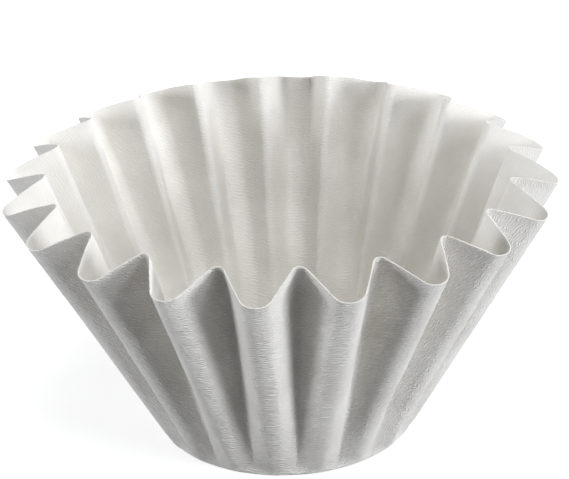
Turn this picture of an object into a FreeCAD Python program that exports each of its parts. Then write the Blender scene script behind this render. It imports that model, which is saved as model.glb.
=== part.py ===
import FreeCAD
import Part

import math
import os

# A paper coffee filter: one round disc of filter paper, pressed into a cup with a flat round
# base and a leaning wall of even flutes. It stands on its base, centred on the origin, +Z up.
# A crest is an outward fold and a valley an inward one. Each line up the wall is straight and
# the paper faces one way all along it, as in paper that is bent and not stretched.
# Lengths are in millimetres and angles in radians.

# The paper
SHEET_DIAMETER = 185.0
PAPER_THICKNESS = 0.2

# The cup's outside, measured across two crests
RIM_DIAMETER = 118.0
BASE_DIAMETER = 57.0

# The flutes on the paper's mid-line, level with the rim's crests
FLUTE_COUNT = 20
RIM_FLUTE_DEPTH = 10.9
RIM_CREST_RADIUS = 3.3
RIM_VALLEY_RADIUS = 1.4

# The flutes on the paper's mid-line at the base, where each is a broad crest between two
# narrow notches. A shoulder is the bend from the crest into a notch's flank.
BASE_CREST_RADIUS = 13.0
BASE_SHOULDER_RADIUS = 0.45
BASE_FLANK = 0.2
BASE_VALLEY_RADIUS = 0.3

# The most that a bent face bulges from its chord before it is drawn as two
FACE_BULGE = 0.1

# What follows from the sizes
HALF_PAPER = PAPER_THICKNESS / 2
HALF_FLUTE = math.pi / FLUTE_COUNT
RIM_RADIUS = RIM_DIAMETER / 2 - HALF_PAPER
BASE_RADIUS = BASE_DIAMETER / 2 - HALF_PAPER
WALL_LENGTH = (SHEET_DIAMETER - BASE_DIAMETER) / 2
CREST_RISE = math.sqrt(WALL_LENGTH**2 - (RIM_RADIUS - BASE_RADIUS) ** 2)
ORIGIN = FreeCAD.Vector(0, 0, 0)
UP = FreeCAD.Vector(0, 0, 1)


def polar(radius, angle):
    """A point in plan."""
    return FreeCAD.Vector(radius * math.cos(angle), radius * math.sin(angle), 0)


# Half a flute in plan, from a crest on the X axis to the next valley. The paper's turn is the
# way it faces: 0 at the crest, most along the flank and half a flute's angle at the valley.
RIM_CREST_CENTRE = polar(RIM_RADIUS - RIM_CREST_RADIUS, 0)
RIM_VALLEY_CENTRE = polar(RIM_RADIUS - RIM_FLUTE_DEPTH + RIM_VALLEY_RADIUS, HALF_FLUTE)
BETWEEN_CENTRES = RIM_VALLEY_CENTRE - RIM_CREST_CENTRE
FLANK_TURN = math.atan2(BETWEEN_CENTRES.y, BETWEEN_CENTRES.x) - math.acos(
    (RIM_CREST_RADIUS + RIM_VALLEY_RADIUS) / BETWEEN_CENTRES.Length
)

# The base's crest turns until its shoulder, flank and valley end on the valley's own line
BASE_CREST_CENTRE = polar(BASE_RADIUS - BASE_CREST_RADIUS, 0)
SHOULDER_TO_VALLEY = polar(BASE_SHOULDER_RADIUS + BASE_VALLEY_RADIUS, FLANK_TURN) + polar(
    BASE_FLANK, FLANK_TURN + math.pi / 2
)
OFF_VALLEY_LINE = (BASE_CREST_CENTRE + SHOULDER_TO_VALLEY).dot(
    polar(1, HALF_FLUTE - math.pi / 2)
)
SHOULDER_TURN = HALF_FLUTE + math.asin(
    OFF_VALLEY_LINE / (BASE_CREST_RADIUS - BASE_SHOULDER_RADIUS)
)
BASE_SHOULDER_CENTRE = BASE_CREST_CENTRE + polar(
    BASE_CREST_RADIUS - BASE_SHOULDER_RADIUS, SHOULDER_TURN
)
BASE_VALLEY_CENTRE = BASE_SHOULDER_CENTRE + SHOULDER_TO_VALLEY


class Arc:
    """A stretch of a flute that is bent round one centre at the base and another at the rim.
    A radius below zero bends the paper inwards."""

    def __init__(self, turns, base, rim):
        self.turns = turns
        self.base_centre, self.base_radius = base
        self.rim_centre, self.rim_radius = rim

    def at(self, share):
        """The paper's turn, its base point and its rim point in plan."""
        turn = self.turns[0] + (self.turns[1] - self.turns[0]) * share
        base = self.base_centre + polar(self.base_radius, turn)
        return turn, base, self.rim_centre + polar(self.rim_radius, turn)

    def pieces(self):
        """The arc cut into equal arcs, none of which bulges too far for one face."""
        largest_radius = max(abs(self.base_radius), abs(self.rim_radius))
        largest_turn = 2 * math.acos(1 - FACE_BULGE / largest_radius)
        count = math.ceil(abs(self.turns[1] - self.turns[0]) / largest_turn)
        ends = [self.at(i / count)[0] for i in range(count + 1)]
        base = (self.base_centre, self.base_radius)
        rim = (self.rim_centre, self.rim_radius)
        return [Arc(turns, base, rim) for turns in zip(ends, ends[1:])]


class Flank:
    """The flat stretch of a flute from the end of one arc to the start of another."""

    def __init__(self, before, after):
        self.turn, self.base_start, self.rim_start = before.at(1)
        _, self.base_end, self.rim_end = after.at(0)

    def at(self, share):
        """The paper's turn, its base point and its rim point in plan."""
        base = self.base_start + (self.base_end - self.base_start) * share
        return self.turn, base, self.rim_start + (self.rim_end - self.rim_start) * share


CREST = Arc(
    (0, SHOULDER_TURN),
    base=(BASE_CREST_CENTRE, BASE_CREST_RADIUS),
    rim=(RIM_CREST_CENTRE, RIM_CREST_RADIUS),
)
SHOULDER = Arc(
    (SHOULDER_TURN, FLANK_TURN),
    base=(BASE_SHOULDER_CENTRE, BASE_SHOULDER_RADIUS),
    rim=(RIM_CREST_CENTRE, RIM_CREST_RADIUS),
)
VALLEY = Arc(
    (FLANK_TURN, HALF_FLUTE),
    base=(BASE_VALLEY_CENTRE, -BASE_VALLEY_RADIUS),
    rim=(RIM_VALLEY_CENTRE, -RIM_VALLEY_RADIUS),
)
HALF_A_FLUTE = CREST.pieces() + SHOULDER.pieces() + [Flank(SHOULDER, VALLEY)] + VALLEY.pieces()


def foot_and_top(stretch, share, side):
    """A straight line up the paper, at a share of the way along a stretch: its foot, in the
    plane of the base, and its top, as far up the wall as the disc's edge is on the flat sheet.
    side is +1 for the paper's outside face and -1 for its inside."""
    turn, base, rim = stretch.at(share)
    up = (rim + UP * CREST_RISE - base).normalize()
    lean = math.atan2((rim - base).dot(polar(1, turn)), CREST_RISE)
    outward = polar(math.cos(lean), turn) - UP * math.sin(lean)
    corner = base + UP * HALF_PAPER + outward * (side * HALF_PAPER)
    face_height = HALF_PAPER - side * HALF_PAPER
    return corner + up * ((face_height - corner.z) / up.z), corner + up * WALL_LENGTH


def foot(stretch, share, side):
    """The foot of such a line."""
    return foot_and_top(stretch, share, side)[0]


def top(stretch, share, side):
    """The top of such a line."""
    return foot_and_top(stretch, share, side)[1]


def curve(stretch, side, place):
    """A smooth edge along a stretch, with the ends and the tangents of place(stretch, share,
    side)."""
    small = 0.001
    start, end = [place(stretch, share, side) for share in (0, 1)]
    start_third, end_third = [
        (place(stretch, share + small, side) - place(stretch, share - small, side)) / (6 * small)
        for share in (0, 1)
    ]
    bezier = Part.BezierCurve()
    bezier.setPoles([start, start + start_third, end - end_third, end])
    return bezier.toShape()


def wall(stretch, side):
    """The wall's outside or inside face along a stretch."""
    lower = curve(stretch, side, foot)
    upper = curve(stretch, side, top)
    if isinstance(stretch, Arc):
        return Part.makeRuledSurface(lower, upper)
    sides = [Part.makeLine(*foot_and_top(stretch, share, side)) for share in (0, 1)]
    return Part.Face(Part.Wire([lower, sides[1], upper, sides[0]]))


def cut_edge(stretch):
    """The face of the paper's cut edge along a stretch."""
    return Part.makeRuledSurface(curve(stretch, +1, top), curve(stretch, -1, top))


def all_round(make):
    """What make(stretch) gives for every stretch of every flute, in order round the cup."""
    half = [make(stretch) for stretch in HALF_A_FLUTE]
    other_half = [shape.mirror(ORIGIN, FreeCAD.Vector(0, 1, 0)) for shape in half]
    flute = other_half[::-1] + half
    shapes = []
    for number in range(FLUTE_COUNT):
        angle = math.degrees(2 * HALF_FLUTE * number)
        shapes += [shape.rotated(ORIGIN, UP, angle) for shape in flute]
    return shapes


def paper_side(side):
    """All faces of the paper's outside (+1) or inside (-1)."""
    base = Part.Face(Part.Wire(all_round(lambda stretch: curve(stretch, side, foot))))
    return [base] + all_round(lambda stretch: wall(stretch, side))


def build_filter():
    """The whole filter, as one closed solid of paper."""
    shell = Part.makeShell(paper_side(+1) + paper_side(-1) + all_round(cut_edge))
    shell.sewShape()
    solid = Part.makeSolid(shell)
    if solid.Volume < 0:
        solid.reverse()
    return solid


os.makedirs("parts", exist_ok=True)
build_filter().exportStep("parts/filter_paper.step")
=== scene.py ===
"""A fluted paper coffee filter, standing on its flat base on a pale floor.

The paper is one disc, pressed so that each line up the wall stays straight. Sizes are in
metres, angles in radians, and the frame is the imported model's.
"""

import logging
import math
from dataclasses import dataclass, field
from enum import Enum
from itertools import accumulate
from typing import Any

import bmesh
import bpy
from mathutils import Matrix, Vector


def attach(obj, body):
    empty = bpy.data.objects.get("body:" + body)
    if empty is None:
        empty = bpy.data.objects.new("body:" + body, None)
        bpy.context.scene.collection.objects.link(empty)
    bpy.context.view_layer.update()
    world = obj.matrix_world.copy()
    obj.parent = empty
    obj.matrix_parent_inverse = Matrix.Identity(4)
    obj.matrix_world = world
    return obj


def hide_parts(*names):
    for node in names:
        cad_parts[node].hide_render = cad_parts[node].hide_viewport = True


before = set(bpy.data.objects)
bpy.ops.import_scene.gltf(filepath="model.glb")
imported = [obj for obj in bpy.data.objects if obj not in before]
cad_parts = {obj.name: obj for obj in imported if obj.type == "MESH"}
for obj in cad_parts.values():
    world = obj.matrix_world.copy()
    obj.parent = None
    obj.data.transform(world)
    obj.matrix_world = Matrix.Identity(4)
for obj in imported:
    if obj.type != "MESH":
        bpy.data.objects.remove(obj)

PAPER_NODE = "filter_paper"
SHEET_MAP = "sheet"
INSIDE_MARK = "cup_inside"

# Points nearer to each other than this are one
TOUCHING = 1e-6

Colour = tuple[float, float, float, float]
WHITE: Colour = (1.0, 1.0, 1.0, 1.0)


class Sign(Enum):
    """A sum that a Math node works out."""

    ADD = "ADD"
    SUBTRACT = "SUBTRACT"
    MULTIPLY = "MULTIPLY"
    DIVIDE = "DIVIDE"
    SINE = "SINE"
    COSINE = "COSINE"


class Term:
    """A number in a node tree, which Python's own signs put through Math nodes."""

    def __init__(self, tree: "Tree", socket: bpy.types.NodeSocket) -> None:
        """Keeps the tree and the socket that the number comes from."""
        self.tree = tree
        self.socket = socket

    def __add__(self, other: "Term | float") -> "Term":
        """The sum of two numbers."""
        return self.tree.sum(Sign.ADD, self, other)

    def __radd__(self, other: float) -> "Term":
        """The sum of two numbers."""
        return self.tree.sum(Sign.ADD, other, self)

    def __sub__(self, other: "Term | float") -> "Term":
        """This number less the other."""
        return self.tree.sum(Sign.SUBTRACT, self, other)

    def __rsub__(self, other: float) -> "Term":
        """The other number less this one."""
        return self.tree.sum(Sign.SUBTRACT, other, self)

    def __mul__(self, other: "Term | float") -> "Term":
        """The product of two numbers."""
        return self.tree.sum(Sign.MULTIPLY, self, other)

    def __rmul__(self, other: float) -> "Term":
        """The product of two numbers."""
        return self.tree.sum(Sign.MULTIPLY, other, self)

    def __truediv__(self, other: "Term | float") -> "Term":
        """This number over the other."""
        return self.tree.sum(Sign.DIVIDE, self, other)

    def __rtruediv__(self, other: float) -> "Term":
        """The other number over this one."""
        return self.tree.sum(Sign.DIVIDE, other, self)


class Tree:
    """A node tree that is filled in by code."""

    def __init__(self, nodes: bpy.types.NodeTree) -> None:
        """Keeps the Blender tree."""
        self.nodes = nodes

    def give(self, socket: bpy.types.NodeSocket, value: Any) -> None:
        """Links or sets a socket.

        Args:
            socket: The input that takes the value.
            value: A Term or an output socket to link, or a plain value to set.
        """
        if isinstance(value, Term):
            value = value.socket
        if isinstance(value, bpy.types.NodeSocket):
            self.nodes.links.new(value, socket)
        else:
            socket.default_value = value

    def node(
        self,
        kind: str,
        settings: dict[str, Any] | None = None,
        values: dict[str | int, Any] | None = None,
    ) -> bpy.types.Node:
        """Makes a node.

        Args:
            kind: The node's Blender type.
            settings: The node's own properties, set before its inputs.
            values: Values or links for its inputs, by the input's name or number.

        Returns:
            The new node.
        """
        made = self.nodes.nodes.new(kind)
        for name, value in (settings or {}).items():
            setattr(made, name, value)
        for name, value in (values or {}).items():
            self.give(made.inputs[name], value)
        return made

    def sum(self, sign: Sign, *numbers: Term | float) -> Term:
        """Puts numbers through a Math node.

        Args:
            sign: What the node works out.
            numbers: One or two numbers.

        Returns:
            The answer.
        """
        made = self.node("ShaderNodeMath", {"operation": sign.value}, dict(enumerate(numbers)))
        return Term(self, made.outputs[0])

    def sine(self, angle: Term) -> Term:
        """The sine of an angle."""
        return self.sum(Sign.SINE, angle)

    def cosine(self, angle: Term) -> Term:
        """The cosine of an angle."""
        return self.sum(Sign.COSINE, angle)

    def vector(self, x: Term | float, y: Term | float, z: Term | float = 0.0) -> Any:
        """Joins three numbers to a vector."""
        return self.node("ShaderNodeCombineXYZ", values={0: x, 1: y, 2: z}).outputs[0]

    def parts(self, vector: Any) -> list[Term]:
        """The three numbers of a vector."""
        made = self.node("ShaderNodeSeparateXYZ", values={0: vector})
        return [Term(self, socket) for socket in made.outputs]

    def noise(self, place: Any, scale: float = 1.0, detail: float = 0.0) -> list[Term]:
        """Makes a Noise Texture.

        Args:
            place: Where each point reads the noise.
            scale: Its cells to a unit of place.
            detail: How many finer layers it has.

        Returns:
            Its height and its colour, each from 0 to 1 with 0.5 as the middle.
        """
        values = {"Vector": place, "Scale": scale, "Detail": detail}
        made = self.node("ShaderNodeTexNoise", {"noise_dimensions": "3D"}, values)
        return [Term(self, socket) for socket in made.outputs]

    def level(self, height: Term, low: float = 0.3, high: float = 0.7) -> Term:
        """Spreads heights over 0 to 1, with soft ends.

        Args:
            height: The number to spread, such as noise, which is mostly from 0.3 to 0.7.
            low: The height that becomes 0.
            high: The height that becomes 1.

        Returns:
            The spread number.
        """
        values = {"Value": height, "From Min": low, "From Max": high}
        made = self.node("ShaderNodeMapRange", {"interpolation_type": "SMOOTHSTEP"}, values)
        return Term(self, made.outputs["Result"])

    def blend(self, share: Any, first: Any, second: Any) -> Any:
        """Mixes two colours.

        Args:
            share: How much of the second, from 0 to 1.
            first: The colour at 0.
            second: The colour at 1.

        Returns:
            The mixed colour's socket.
        """
        made = self.node("ShaderNodeMix", {"data_type": "RGBA"})
        self.give(made.inputs[0], share)
        self.give(made.inputs[6], first)
        self.give(made.inputs[7], second)
        return made.outputs[2]


@dataclass(frozen=True)
class CrepedPaper:
    """The finish of soft white filter paper, creped in fine wavy lines across the sheet. Its
    hollows are painted darker, as painted shade.

    The lines run along the flat disc's X axis, so they cross the front of the cup and run up
    its sides. They are weaker there, and on the cup's inside. The even, broken and crease
    shares are what whole lines, lines that come and go, and fine creases add to the height.
    """

    sheet_diameter: float = 0.185
    white: Colour = (0.95, 0.925, 0.87, 1.0)
    # The colour of the crepe's hollows, darkened as painted shade
    painted_hollow_shade: Colour = (0.7, 0.665, 0.595, 1.0)
    line_pitch: float = 0.0007
    line_length: float = 0.0022
    wander_length: float = 0.0019
    wander_width: float = 0.005
    line_wander: float = 0.0004
    line_height: float = 0.00024
    whole_line: float = 0.6
    crease_fineness: tuple[float, float] = (1.8, 2.4)
    crease_seed: float = 7.0
    even_share: float = 0.3
    broken_share: float = 0.55
    crease_share: float = 0.15
    middle_height: float = 0.45
    fibre_size: float = 0.0002
    fibre_height: float = 0.00002
    cloud_size: float = 0.012
    cloud_share: float = 0.3
    inside_smoothness: float = 0.7
    side_smoothness: float = 0.6
    even_radius: float = 0.02
    glow: float = 0.03
    roughness: float = 0.95
    gloss: float = 0.2

    def lines(self, tree: Tree, x: Term, y: Term) -> Term:
        """Works out the height of the crepe.

        Args:
            tree: The material's tree.
            x: Place along the lines on the flat sheet.
            y: Place across them.

        Returns:
            A height from 0 to 1.
        """
        # A wave of noise is about two cells long, and strays by a quarter to either side
        slow = tree.vector(x * (2 / self.wander_length), y * (2 / self.wander_width))
        wander, _ = tree.noise(slow, detail=1.0)
        across = y + (wander - 0.5) * (4 * self.line_wander)
        wave = tree.sine(across * (2 * math.pi / self.line_pitch)) * 0.5 + 0.5
        length, pitch = x * (2 / self.line_length), across * (1 / self.line_pitch)
        finer, closer = self.crease_fineness
        breaks, _ = tree.noise(tree.vector(length, pitch))
        creases, _ = tree.noise(tree.vector(length * finer, pitch * closer, self.crease_seed))
        whole = tree.level(breaks, high=self.whole_line)
        height = wave * (self.even_share + self.broken_share * whole)
        return height + tree.level(creases) * self.crease_share

    def strength(self, tree: Tree, x: Term, y: Term) -> Term:
        """Works out how strong the crepe is.

        Args:
            tree: The material's tree.
            x: Place along the lines on the flat sheet.
            y: Place across them.

        Returns:
            1 at the cup's front and back, less where the lines run up the wall and inside.
        """
        aside, before = x - self.sheet_diameter / 2, y - self.sheet_diameter / 2
        square = aside * aside
        upright = square / (square + before * before + self.even_radius**2)
        mark = tree.node("ShaderNodeAttribute", {"attribute_name": INSIDE_MARK})
        inside = Term(tree, mark.outputs["Fac"])
        return (1 - inside * self.inside_smoothness) * (1 - upright * self.side_smoothness)

    def material(self) -> bpy.types.Material:
        """Makes the material.

        Returns:
            Diffuse paper that lets some light through, with creped relief and painted
            shade in the crepe's hollows.
        """
        made = bpy.data.materials.new("creped_paper")
        made.use_nodes = True
        made.node_tree.nodes.clear()
        tree = Tree(made.node_tree)
        sheet = tree.node("ShaderNodeUVMap", {"uv_map": SHEET_MAP}).outputs[0]
        x, y, _ = tree.parts(sheet)
        x, y = x * self.sheet_diameter, y * self.sheet_diameter
        place = tree.vector(x, y)
        lines = self.lines(tree, x, y) - self.middle_height
        lines = lines * self.strength(tree, x, y) + self.middle_height
        fibres, _ = tree.noise(place, 1 / self.fibre_size, 2.0)
        clouds, _ = tree.noise(place, 1 / self.cloud_size, 3.0)
        # The colour is painted shade in the crepe's hollows, mixed with random clouds of tone
        shade = lines * (1 - self.cloud_share) + tree.level(clouds) * self.cloud_share
        colour = tree.blend(shade, self.painted_hollow_shade, self.white)
        relief = lines * self.line_height + fibres * self.fibre_height
        bump = tree.node(
            "ShaderNodeBump", values={"Strength": 1.0, "Distance": 1.0, "Height": relief}
        ).outputs[0]
        paper = tree.node(
            "ShaderNodeBsdfPrincipled",
            values={
                "Base Color": colour,
                "Roughness": self.roughness,
                "Specular IOR Level": self.gloss,
                "Normal": bump,
            },
        )
        through = tree.node(
            "ShaderNodeBsdfTranslucent", values={"Color": colour, "Normal": bump}
        )
        both = tree.node(
            "ShaderNodeMixShader",
            values={0: self.glow, 1: paper.outputs[0], 2: through.outputs[0]},
        )
        tree.node("ShaderNodeOutputMaterial", values={"Surface": both.outputs[0]})
        return made


@dataclass(frozen=True)
class PaleFloor:
    """The finish of the studio's pale floor, which shows white beside the object's shadow."""

    colour: Colour = (0.3, 0.3, 0.3, 1.0)
    lift: float = 0.84

    def material(self) -> bpy.types.Material:
        """Makes the material.

        Returns:
            A matt floor that is brighter to the camera, and no brighter to the object.
        """
        made = bpy.data.materials.new("pale_floor")
        made.use_nodes = True
        made.node_tree.nodes.clear()
        tree = Tree(made.node_tree)
        seen = seen_directly(tree)
        paint = tree.node(
            "ShaderNodeBsdfDiffuse", values={"Color": self.colour, "Roughness": 1.0}
        )
        lift = tree.node("ShaderNodeEmission", values={"Color": WHITE})
        tree.give(lift.inputs["Strength"], seen * self.lift)
        both = tree.node(
            "ShaderNodeAddShader", values={0: paint.outputs[0], 1: lift.outputs[0]}
        )
        tree.node("ShaderNodeOutputMaterial", values={"Surface": both.outputs[0]})
        return made


def seen_directly(tree: Tree) -> Term:
    """Finds what the camera sees, also by gloss or through clear things.

    Args:
        tree: The tree of a floor's or the world's looks.

    Returns:
        1 or more for such a ray, and 0 for one that lights the object.
    """
    ray = tree.node("ShaderNodeLightPath").outputs
    camera, glossy, clear = [
        Term(tree, ray[name])
        for name in ("Is Camera Ray", "Is Glossy Ray", "Is Transmission Ray")
    ]
    return camera + glossy + clear


def polar(radius: float, angle: float) -> Vector:
    """A point in plan."""
    return Vector((radius * math.cos(angle), radius * math.sin(angle), 0.0))


def distances(places: list[Vector]) -> list[float]:
    """How far along a line of points each of them lies."""
    steps = [(two - one).length for one, two in zip(places, places[1:])]
    return list(accumulate(steps, initial=0.0))


@dataclass(frozen=True)
class Section:
    """Half a flute in plan at one level: half a round crest, a straight flank, half a valley.

    The steps are how many the crest, the flank and the valley are drawn in.
    """

    crest_reach: float
    depth: float
    crest_bend: float
    valley_bend: float
    half_flute: float
    steps: tuple[int, int, int] = (10, 5, 6)

    def points(self) -> list[Vector]:
        """Works out the points of the half flute.

        Returns:
            Points from the crest, on the X axis, to the valley, the same number at any level.
        """
        crest = polar(self.crest_reach - self.crest_bend, 0)
        valley = polar(self.crest_reach - self.depth + self.valley_bend, self.half_flute)
        between = valley - crest
        turn = math.atan2(between.y, between.x) - math.acos(
            (self.crest_bend + self.valley_bend) / between.length
        )
        round_steps, flank_steps, valley_steps = self.steps
        made = [
            crest + polar(self.crest_bend, turn * i / round_steps) for i in range(round_steps)
        ]
        start = crest + polar(self.crest_bend, turn)
        end = valley - polar(self.valley_bend, turn)
        made += [start.lerp(end, i / flank_steps) for i in range(flank_steps)]
        spread = self.half_flute - turn
        made += [
            valley - polar(self.valley_bend, turn + spread * i / valley_steps)
            for i in range(valley_steps + 1)
        ]
        return made


@dataclass
class Rib:
    """One line up the paper, from the base's plane to the rim."""

    places: list[Vector]
    reaches: list[float]
    sheet_angle: float

    def at(self, reach: float) -> Vector:
        """The place at a distance up the line."""
        i = next(k for k in range(1, len(self.reaches)) if self.reaches[k] >= reach)
        below, above = self.reaches[i - 1], self.reaches[i]
        return self.places[i - 1].lerp(self.places[i], (reach - below) / (above - below))

    def mirrored(self) -> "Rib":
        """The same line on the crest's other side."""
        flip = Matrix.Diagonal((1, -1, 1))
        return Rib([flip @ place for place in self.places], self.reaches, -self.sheet_angle)


@dataclass
class FlutedPaper:
    """The pressed sheet: a flat base and a wall of even flutes, as one piece of paper.

    The flutes start shallow at the round base, and deepen evenly up to the rim. The bends are
    the radii of a crest and of a valley. A spread over 1 puts levels or rows closer together
    near the base, and top_share is the highest level over the crests' height, because the
    valleys stand higher than the crests at the rim.
    """

    name: str = "fluted_paper"
    flutes: int = 20
    sheet_radius: float = 0.0925
    thickness: float = 0.0002
    rim_radius: float = 0.0589
    base_radius: float = 0.0284
    rim_depth: float = 0.0109
    base_depth: float = 0.00084
    round_height: float = 0.004
    rim_bends: tuple[float, float] = (0.0033, 0.0014)
    base_bends: tuple[float, float] = (0.0030, 0.0009)
    base_fold: float = 0.0009
    base_rings: tuple[float, ...] = (0.0262, 0.021, 0.0135, 0.0065)
    levels: int = 90
    level_spread: float = 1.5
    top_share: float = 1.15
    wall_rows: int = 42
    row_spread: float = 1.25
    fold_rows: int = 5
    sharp_angle: float = math.radians(50)
    wander: float = 0.0005
    wander_size: float = 0.03
    cockle: float = 0.00012
    cockle_size: float = 0.007
    seed: float = 4.0
    finish: CrepedPaper = field(default_factory=CrepedPaper)

    def wall_length(self) -> float:
        """The length of each line up the wall."""
        return self.sheet_radius - self.base_radius - self.thickness / 2

    def rise(self) -> float:
        """The height of the crests at the rim above the base."""
        return math.sqrt(self.wall_length() ** 2 - (self.rim_radius - self.base_radius) ** 2)

    def section(self, share: float) -> Section:
        """Works out the flutes at one level.

        Args:
            share: The level's height as a share of the crests' height at the rim.

        Returns:
            The section at that level.
        """
        depth = self.base_depth + (self.rim_depth - self.base_depth) * share
        crest, valley = [
            low + (high - low) * share for low, high in zip(self.base_bends, self.rim_bends)
        ]
        reach = self.base_radius + (self.rim_radius - self.base_radius) * share
        return Section(reach, depth, crest, valley, math.pi / self.flutes)

    def ribs(self) -> list[Rib]:
        """Works out one flute's lines up the wall, from a valley to the next.

        Returns:
            The lines in order, with the crest on the X axis.
        """
        steps = [i / self.levels for i in range(self.levels + 1)]
        rises = [self.top_share * step**self.level_spread for step in steps]
        plans = [self.section(rise).points() for rise in rises]
        path = distances(self.section(1.0).points())
        half = []
        for i, along in enumerate(path):
            sheet_angle = along / path[-1] * math.pi / self.flutes
            places = []
            for plan, rise in zip(plans, rises):
                height = self.rise() * rise
                roundness = max(0.0, 1 - height / self.round_height) ** 2
                place = plan[i].lerp(polar(self.base_radius, sheet_angle), roundness)
                places.append(place + Vector((0, 0, height + self.thickness / 2)))
            half.append(Rib(places, distances(places), sheet_angle))
        return [rib.mirrored() for rib in half[:0:-1]] + half

    def flute_mesh(self) -> bpy.types.Mesh:
        """Makes one flute of paper with its wedge of the base, without thickness.

        Returns:
            A mesh with each point's place on the flat disc as two attributes.
        """
        length = self.wall_length()
        shape = bmesh.new()
        radius_layer = shape.verts.layers.float.new("sheet_radius")
        angle_layer = shape.verts.layers.float.new("sheet_angle")

        def point(place: Vector, radius: float, angle: float) -> bmesh.types.BMVert:
            """Adds a vertex and its place on the flat disc."""
            made = shape.verts.new(place)
            made[radius_layer], made[angle_layer] = radius, angle
            return made

        middle = point(Vector((0, 0, self.thickness / 2)), 0.0, 0.0)
        columns = []
        for rib in self.ribs():
            foot = rib.at(0.0)
            inward = -Vector((foot.x, foot.y, 0)).normalized()
            end = rib.at(self.base_fold)
            column = []
            for ring in self.base_rings[::-1]:
                place = -inward * ring + Vector((0, 0, self.thickness / 2))
                column.append(point(place, ring, rib.sheet_angle))
            for i in range(self.fold_rows + 1):
                t = i / self.fold_rows
                start = foot + inward * self.base_fold
                place = start.lerp(foot, t).lerp(foot.lerp(end, t), t)
                radius = self.base_radius + self.base_fold * (2 * t - 1)
                column.append(point(place, radius, rib.sheet_angle))
            for i in range(1, self.wall_rows + 1):
                share = (i / self.wall_rows) ** self.row_spread
                along = self.base_fold + (length - self.base_fold) * share
                column.append(point(rib.at(along), self.base_radius + along, rib.sheet_angle))
            columns.append(column)
        for one, two in zip(columns, columns[1:]):
            shape.faces.new((middle, one[0], two[0]))
            for i in range(len(one) - 1):
                shape.faces.new((one[i], one[i + 1], two[i + 1], two[i]))
        made = bpy.data.meshes.new("flute")
        shape.to_mesh(made)
        shape.free()
        return made

    def flute_tree(self) -> tuple[bpy.types.NodeTree, dict[str, str]]:
        """Builds the tree that repeats a flute round the cup and makes it uneven as paper is.

        Returns:
            The tree, and the identifiers of its inputs by name.
        """
        group = bpy.data.node_groups.new("fluted_cup", "GeometryNodeTree")
        tree = Tree(group)
        face = group.interface
        face.new_socket(name="Flute", in_out="INPUT", socket_type="NodeSocketGeometry")
        kinds = {
            "Flutes": "NodeSocketInt",
            "Sheet diameter": "NodeSocketFloat",
            "Wall length": "NodeSocketFloat",
            "Wander": "NodeSocketFloat",
            "Wander size": "NodeSocketFloat",
            "Cockle": "NodeSocketFloat",
            "Cockle size": "NodeSocketFloat",
            "Seed": "NodeSocketFloat",
            "Paper": "NodeSocketMaterial",
        }
        names = {
            name: face.new_socket(name=name, in_out="INPUT", socket_type=kind).identifier
            for name, kind in kinds.items()
        }
        face.new_socket(name="Cup", in_out="OUTPUT", socket_type="NodeSocketGeometry")
        given = tree.node("NodeGroupInput").outputs
        number = {name: Term(tree, given[name]) for name in kinds if name != "Paper"}
        turn = Term(tree, tree.node("GeometryNodeInputIndex").outputs[0])
        angle = turn * (2 * math.pi / number["Flutes"])
        points = tree.node("GeometryNodePoints", values={"Count": given["Flutes"]}).outputs[0]
        points = self.stored(tree, points, "flute_angle", angle, "FLOAT", "POINT")
        cups = tree.node(
            "GeometryNodeInstanceOnPoints",
            values={
                "Points": points,
                "Instance": given["Flute"],
                "Rotation": tree.vector(0.0, 0.0, self.read(tree, "flute_angle")),
            },
        ).outputs[0]
        cup = tree.node("GeometryNodeRealizeInstances", values={0: cups}).outputs[0]
        around = self.read(tree, "sheet_angle") + self.read(tree, "flute_angle")
        reach = self.read(tree, "sheet_radius") / number["Sheet diameter"]
        flat = tree.vector(
            0.5 + reach * tree.cosine(around), 0.5 + reach * tree.sine(around)
        )
        cup = self.stored(tree, cup, "flat_place", flat, "FLOAT_VECTOR", "POINT")
        cup = tree.node(
            "GeometryNodeMergeByDistance", values={"Geometry": cup, "Distance": TOUCHING}
        ).outputs[0]
        cup = tree.node(
            "GeometryNodeSetPosition",
            values={"Geometry": cup, "Offset": self.unevenness(tree, number)},
        ).outputs[0]
        flat = self.read(tree, "flat_place", "FLOAT_VECTOR").socket
        cup = self.stored(tree, cup, SHEET_MAP, flat, "FLOAT2", "CORNER")
        for name in ("sheet_radius", "sheet_angle", "flute_angle", "flat_place"):
            cup = tree.node(
                "GeometryNodeRemoveAttribute", values={"Geometry": cup, "Name": name}
            ).outputs[0]
        cup = tree.node(
            "GeometryNodeSetMaterial", values={"Geometry": cup, "Material": given["Paper"]}
        ).outputs[0]
        tree.node("NodeGroupOutput", values={0: cup})
        return group, names

    def unevenness(self, tree: Tree, number: dict[str, Term]) -> Any:
        """Works out how far the paper strays from the rule: not at its base, most at its rim.

        Args:
            tree: The cup's tree.
            number: The tree's number inputs by name.

        Returns:
            The offset's socket.
        """
        place = tree.node("GeometryNodeInputPosition").outputs[0]
        x, y, z = tree.parts(place)
        height = z / number["Wall length"]
        moves = []
        for size, reach in (("Wander size", "Wander"), ("Cockle size", "Cockle")):
            # The waves are twice as long up the wall as across it
            spread = tree.vector(
                x / number[size] + number["Seed"], y / number[size], 0.5 * z / number[size]
            )
            stray = tree.node(
                "ShaderNodeVectorMath",
                {"operation": "SUBTRACT"},
                {0: tree.noise(spread)[1], 1: (0.5, 0.5, 0.5)},
            ).outputs[0]
            # A noise strays by a half at most, and twice that is the reach at the rim
            strength = height * number[reach] * 2.0
            moves.append(
                tree.node(
                    "ShaderNodeVectorMath",
                    {"operation": "SCALE"},
                    {0: stray, "Scale": strength},
                ).outputs[0]
            )
        return tree.node(
            "ShaderNodeVectorMath", {"operation": "ADD"}, {0: moves[0], 1: moves[1]}
        ).outputs[0]

    @staticmethod
    def read(tree: Tree, name: str, kind: str = "FLOAT") -> Term:
        """Reads a named attribute."""
        made = tree.node("GeometryNodeInputNamedAttribute", {"data_type": kind}, {0: name})
        return Term(tree, made.outputs[0])

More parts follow.
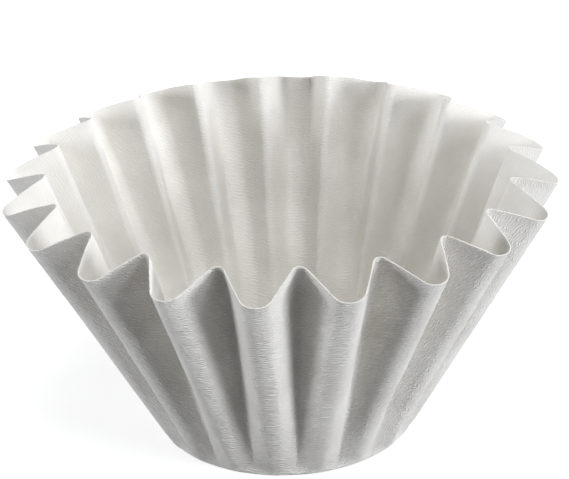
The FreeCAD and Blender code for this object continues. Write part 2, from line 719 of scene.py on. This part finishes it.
    @staticmethod
    def stored(tree: Tree, shape: Any, name: str, value: Any, kind: str, domain: str) -> Any:
        """Stores a named attribute.

        Args:
            tree: The cup's tree.
            shape: The geometry's socket.
            name: The attribute's name.
            value: What it takes.
            kind: Its data type.
            domain: What carries it.

        Returns:
            The new geometry's socket.
        """
        settings = {"data_type": kind, "domain": domain}
        values = {"Geometry": shape, "Name": name, "Value": value}
        return tree.node("GeometryNodeStoreNamedAttribute", settings, values).outputs[0]

    def build(self) -> bpy.types.Object:
        """Makes the whole filter as one closed mesh of paper.

        Returns:
            The finished piece.
        """
        flute = bpy.data.objects.new("flute", self.flute_mesh())
        bpy.context.scene.collection.objects.link(flute)
        group, names = self.flute_tree()
        changer = flute.modifiers.new("cup", "NODES")
        changer.node_group = group
        sizes = {
            "Flutes": self.flutes,
            "Sheet diameter": 2 * self.sheet_radius,
            "Wall length": self.wall_length(),
            "Wander": self.wander,
            "Wander size": self.wander_size,
            "Cockle": self.cockle,
            "Cockle size": self.cockle_size,
            "Seed": self.seed,
            "Paper": self.finish.material(),
        }
        for name, value in sizes.items():
            changer[names[name]] = value
        cup = self.plain_copy(flute, "cup_surface")
        bpy.data.objects.remove(flute)
        self.tidy(cup.data)
        thick = cup.modifiers.new("thickness", "SOLIDIFY")
        thick.thickness = self.thickness
        thick.offset = 0.0
        thick.use_even_offset = True
        thick.use_quality_normals = True
        piece = self.plain_copy(cup, self.name)
        bpy.data.objects.remove(cup)
        self.mark_inside(piece.data)
        self.smooth(piece.data)
        return piece

    @staticmethod
    def plain_copy(source: bpy.types.Object, name: str) -> bpy.types.Object:
        """Turns an object and its modifiers into a plain mesh object.

        Args:
            source: The object to read.
            name: The new object's name.

        Returns:
            The new object, in the scene.
        """
        graph = bpy.context.evaluated_depsgraph_get()
        mesh = bpy.data.meshes.new_from_object(source.evaluated_get(graph), depsgraph=graph)
        mesh.name = name
        made = bpy.data.objects.new(name, mesh)
        bpy.context.scene.collection.objects.link(made)
        return made

    @staticmethod
    def tidy(mesh: bpy.types.Mesh) -> None:
        """Merges doubles and turns all faces one way."""
        shape = bmesh.new()
        shape.from_mesh(mesh)
        bmesh.ops.remove_doubles(shape, verts=shape.verts, dist=TOUCHING)
        bmesh.ops.recalc_face_normals(shape, faces=shape.faces)
        shape.to_mesh(mesh)
        shape.free()

    @staticmethod
    def mark_inside(mesh: bpy.types.Mesh) -> None:
        """Marks the paper's points on the cup's inside with 1 and the others with 0."""
        # The thickness lists all points of one side of the paper before those of the other
        half = len(mesh.vertices) // 2
        reaches = [vertex.co.xy.length for vertex in mesh.vertices]
        inside_first = sum(reaches[:half]) < sum(reaches[half:])
        marks = [float((i < half) == inside_first) for i in range(len(mesh.vertices))]
        mesh.attributes.new(INSIDE_MARK, "FLOAT", "POINT").data.foreach_set("value", marks)

    def smooth(self, mesh: bpy.types.Mesh) -> None:
        """Shades the paper smooth, with a sharp cut edge and normals that face outwards."""
        shape = bmesh.new()
        shape.from_mesh(mesh)
        bmesh.ops.recalc_face_normals(shape, faces=shape.faces)
        for face in shape.faces:
            face.smooth = True
        for edge in shape.edges:
            edge.smooth = edge.calc_face_angle(0.0) < self.sharp_angle
        shape.to_mesh(mesh)
        shape.free()

    def dress(self, piece: bpy.types.Object) -> None:
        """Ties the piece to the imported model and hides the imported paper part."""
        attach(piece, "root")
        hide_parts(PAPER_NODE)


@dataclass(frozen=True)
class Softbox:
    """A square soft lamp that faces the filter.

    Its azimuth and elevation from the filter are in degrees, and its power is in watts.
    """

    name: str
    azimuth: float
    elevation: float
    power: float
    reach: float = 1.4
    size: float = 0.46
    aim_height: float = 0.03
    colour: tuple[float, float, float] = (0.94, 0.975, 1.05)

    def build(self) -> None:
        """Hangs the lamp so that it faces the filter."""
        turn, rise = math.radians(self.azimuth), math.radians(self.elevation)
        level = math.cos(rise)
        way = Vector((math.sin(turn) * level, -math.cos(turn) * level, math.sin(rise)))
        data = bpy.data.lights.new(self.name, "AREA")
        data.size = self.size
        data.energy = self.power
        data.color = self.colour
        made = bpy.data.objects.new(self.name, data)
        bpy.context.scene.collection.objects.link(made)
        made.location = way * self.reach
        aim = Vector((0, 0, self.aim_height)) - made.location
        made.rotation_euler = aim.to_track_quat("-Z", "Y").to_euler()


@dataclass
class Studio:
    """The pale floor, the soft light and the camera.

    The camera's azimuth and elevation are its place as seen from the filter. It looks at a
    point that lies aside of the filter's axis and at the target height.
    """

    floor_size: float = 6.0
    finish: PaleFloor = field(default_factory=PaleFloor)
    lamps: tuple[Softbox, ...] = (
        Softbox("left_lamp", -60.0, 10.0, 11.2),
        Softbox("right_lamp", 65.0, 10.0, 15.6),
        Softbox("right_high_lamp", 50.0, 35.0, 5.2),
        Softbox("top_lamp", 5.0, 88.0, 10.5),
        Softbox("back_lamp", 175.0, 20.0, 12.0),
    )
    world_light: float = 0.02
    azimuth: float = math.radians(5.12)
    elevation: float = math.radians(25.85)
    roll: float = math.radians(-1.634)
    distance: float = 0.4688
    aside: float = 0.00065
    target_height: float = 0.0421
    focal_pixels: float = 2177.4
    image_width: int = 569
    sensor: float = 36.0

    def build(self) -> None:
        """Makes the floor, the lights, the world and the camera."""
        self.floor()
        for lamp in self.lamps:
            lamp.build()
        self.world()
        self.camera()

    def floor(self) -> None:
        """Lays the floor under the filter."""
        mesh = bpy.data.meshes.new("floor")
        half = self.floor_size / 2
        corners = [(-half, -half, 0), (half, -half, 0), (half, half, 0), (-half, half, 0)]
        mesh.from_pydata(corners, [], [(0, 1, 2, 3)])
        mesh.materials.append(self.finish.material())
        piece = bpy.data.objects.new("floor", mesh)
        bpy.context.scene.collection.objects.link(piece)

    def world(self) -> None:
        """Lights the room evenly, with white behind all that the camera sees."""
        world = bpy.data.worlds.new("studio")
        world.use_nodes = True
        world.node_tree.nodes.clear()
        tree = Tree(world.node_tree)
        seen = seen_directly(tree)
        light = tree.node(
            "ShaderNodeBackground",
            values={"Color": WHITE, "Strength": self.world_light},
        )
        white = tree.node("ShaderNodeBackground", values={"Color": WHITE, "Strength": 1.0})
        both = tree.node(
            "ShaderNodeMixShader",
            values={0: seen, 1: light.outputs[0], 2: white.outputs[0]},
        )
        tree.node("ShaderNodeOutputWorld", values={"Surface": both.outputs[0]})
        bpy.context.scene.world = world

    def camera(self) -> None:
        """Stands the camera where the photograph was taken from."""
        ahead = Vector((0, math.cos(self.elevation), -math.sin(self.elevation)))
        right = Vector((1, 0, 0))
        up = right.cross(ahead)
        place = Vector((self.aside, 0, self.target_height)) - ahead * self.distance
        level_right = right * math.cos(self.roll) + up * math.sin(self.roll)
        level_up = up * math.cos(self.roll) - right * math.sin(self.roll)
        view = Matrix((level_right, level_up, -ahead)).transposed().to_4x4()
        view.translation = place
        data = bpy.data.cameras.new("camera")
        data.sensor_width = self.sensor
        data.lens = self.focal_pixels * self.sensor / self.image_width
        made = bpy.data.objects.new("camera", data)
        bpy.context.scene.collection.objects.link(made)
        made.matrix_world = Matrix.Rotation(self.azimuth, 4, "Z") @ view
        bpy.context.scene.camera = made


def main() -> None:
    """Builds the studio and the filter."""
    logging.basicConfig(level=logging.INFO, format="%(message)s")
    report = logging.getLogger("filter")
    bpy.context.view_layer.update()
    bpy.context.scene.view_settings.view_transform = "Standard"
    Studio().build()
    paper = FlutedPaper()
    piece = paper.build()
    paper.dress(piece)
    triangles = sum(len(face.vertices) - 2 for face in piece.data.polygons)
    report.info("%s: %d triangles", piece.name, triangles)


if __name__ == "__main__":
    main()
